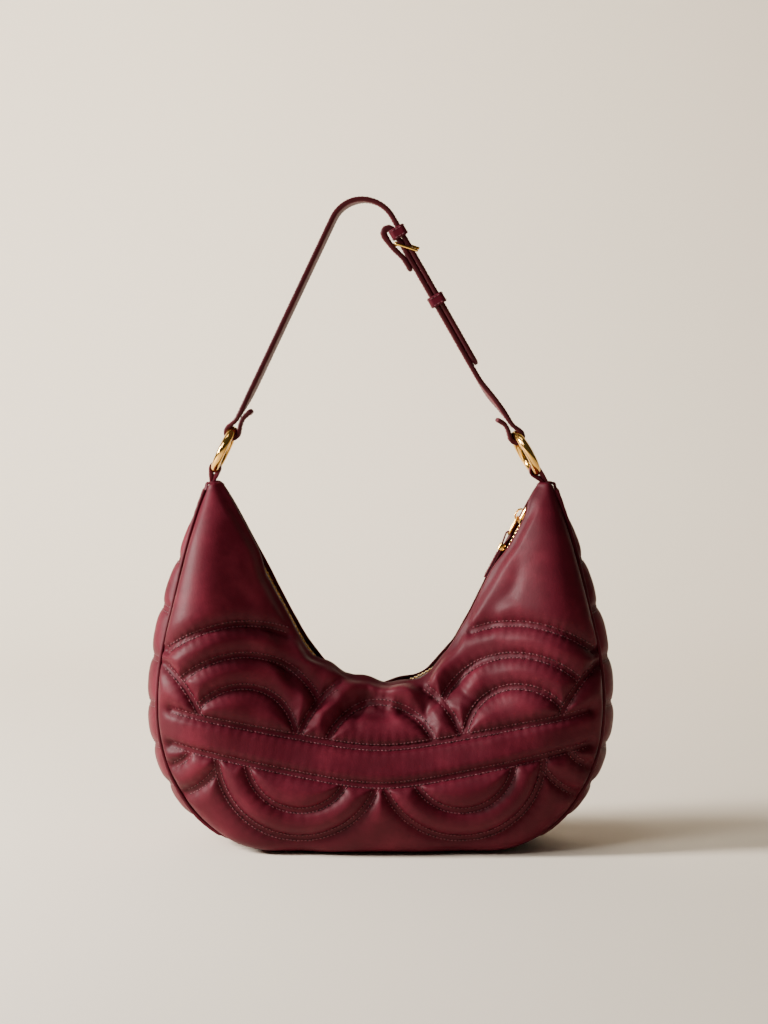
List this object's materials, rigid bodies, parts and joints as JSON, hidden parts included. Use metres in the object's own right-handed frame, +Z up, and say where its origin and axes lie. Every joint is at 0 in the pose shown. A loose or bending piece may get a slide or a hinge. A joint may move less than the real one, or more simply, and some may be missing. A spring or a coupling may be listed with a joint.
{
  "type": "hobo bag",
  "caption": "Crescent shoulder bag in padded leather with a curved zip along its sagging top and a buckled strap held by two rings.",
  "frame": {"origin": "middle of the flat base, on the surface the bag stands on", "axes": "+X to the bag's left as it faces the viewer's right, +Y to the back (the front faces -Y), +Z up"},
  "size_m": [0.3398, 0.112, 0.4704],
  "materials": {
    "leather": "smooth satin",
    "wadding": "soft matte",
    "lining": "matte twill",
    "board": "matte",
    "zip_tape": "woven matte",
    "gold_metal": "polished"
  },
  "bodies": {
    "bag": {"front_panel": "leather", "back_panel": "leather", "gusset": "leather", "base_panel": "leather", "base_board": "board", "front_padding": "wadding", "back_padding": "wadding", "gusset_padding": "wadding", "lining_front": "lining", "lining_back": "lining", "lining_gusset": "lining", "inner_pocket": "lining", "front_piping": "leather", "back_piping": "leather", "zip_tape_front": "zip_tape", "zip_tape_back": "zip_tape", "zip_teeth_front": "gold_metal", "zip_teeth_back": "gold_metal", "zip_top_stops": "gold_metal", "zip_bottom_stop": "gold_metal", "left_tab_anchor": "leather", "right_tab_anchor": "leather"},
    "handle": {"left_ring_tab": "leather", "right_ring_tab": "leather", "long_strap": "leather", "buckle_strap": "leather", "buckle_frame": "gold_metal", "fixed_keeper": "leather"},
    "left_ring_body": {"left_ring": "gold_metal"},
    "right_ring_body": {"right_ring": "gold_metal"},
    "prong": {"buckle_prong": "gold_metal"},
    "keeper": {"sliding_keeper": "leather"},
    "slider": {"zip_slider": "gold_metal"},
    "pull_link": {"zip_pull_link": "gold_metal"},
    "pull_tab": {"zip_pull_collar": "gold_metal", "zip_pull_tab": "leather"}
  },
  "joints": [
    {"name": "strap_swing", "type": "hinge", "parent": "bag", "child": "handle", "pos_m": [0, 0, 0.2665], "axis": [1, 0, 0], "range_deg": [-65, 65]},
    {"name": "left_ring_spin", "type": "hinge", "parent": "handle", "child": "left_ring_body", "pos_m": [-0.1136, 0, 0.2884], "axis": [-0.9006, 0.0523, 0.4315], "continuous": true},
    {"name": "right_ring_spin", "type": "hinge", "parent": "handle", "child": "right_ring_body", "pos_m": [0.1054, 0, 0.2856], "axis": [0.8661, 0.1392, 0.4801], "continuous": true},
    {"name": "prong_swing", "type": "hinge", "parent": "handle", "child": "prong", "pos_m": [0.01122, 0, 0.43706], "axis": [0, -1, 0], "range_deg": [0, 12]},
    {"name": "keeper_slide", "type": "slide", "parent": "handle", "child": "keeper", "axis": [0.497, 0, -0.8678], "range_m": [-0.02, 0.045]},
    {"name": "zip_travel", "type": "slide", "parent": "bag", "child": "slider", "axis": [-0.4695, 0, -0.8829], "range_m": [0, 0.062]},
    {"name": "pull_link_swing", "type": "hinge", "parent": "slider", "child": "pull_link", "pos_m": [0.09999, 0, 0.23955], "axis": [0, 1, 0], "range_deg": [0, 95]},
    {"name": "pull_tab_swing", "type": "hinge", "parent": "pull_link", "child": "pull_tab", "pos_m": [0.09314, 0, 0.22666], "axis": [0, 1, 0], "range_deg": [0, 45]}
  ]
}
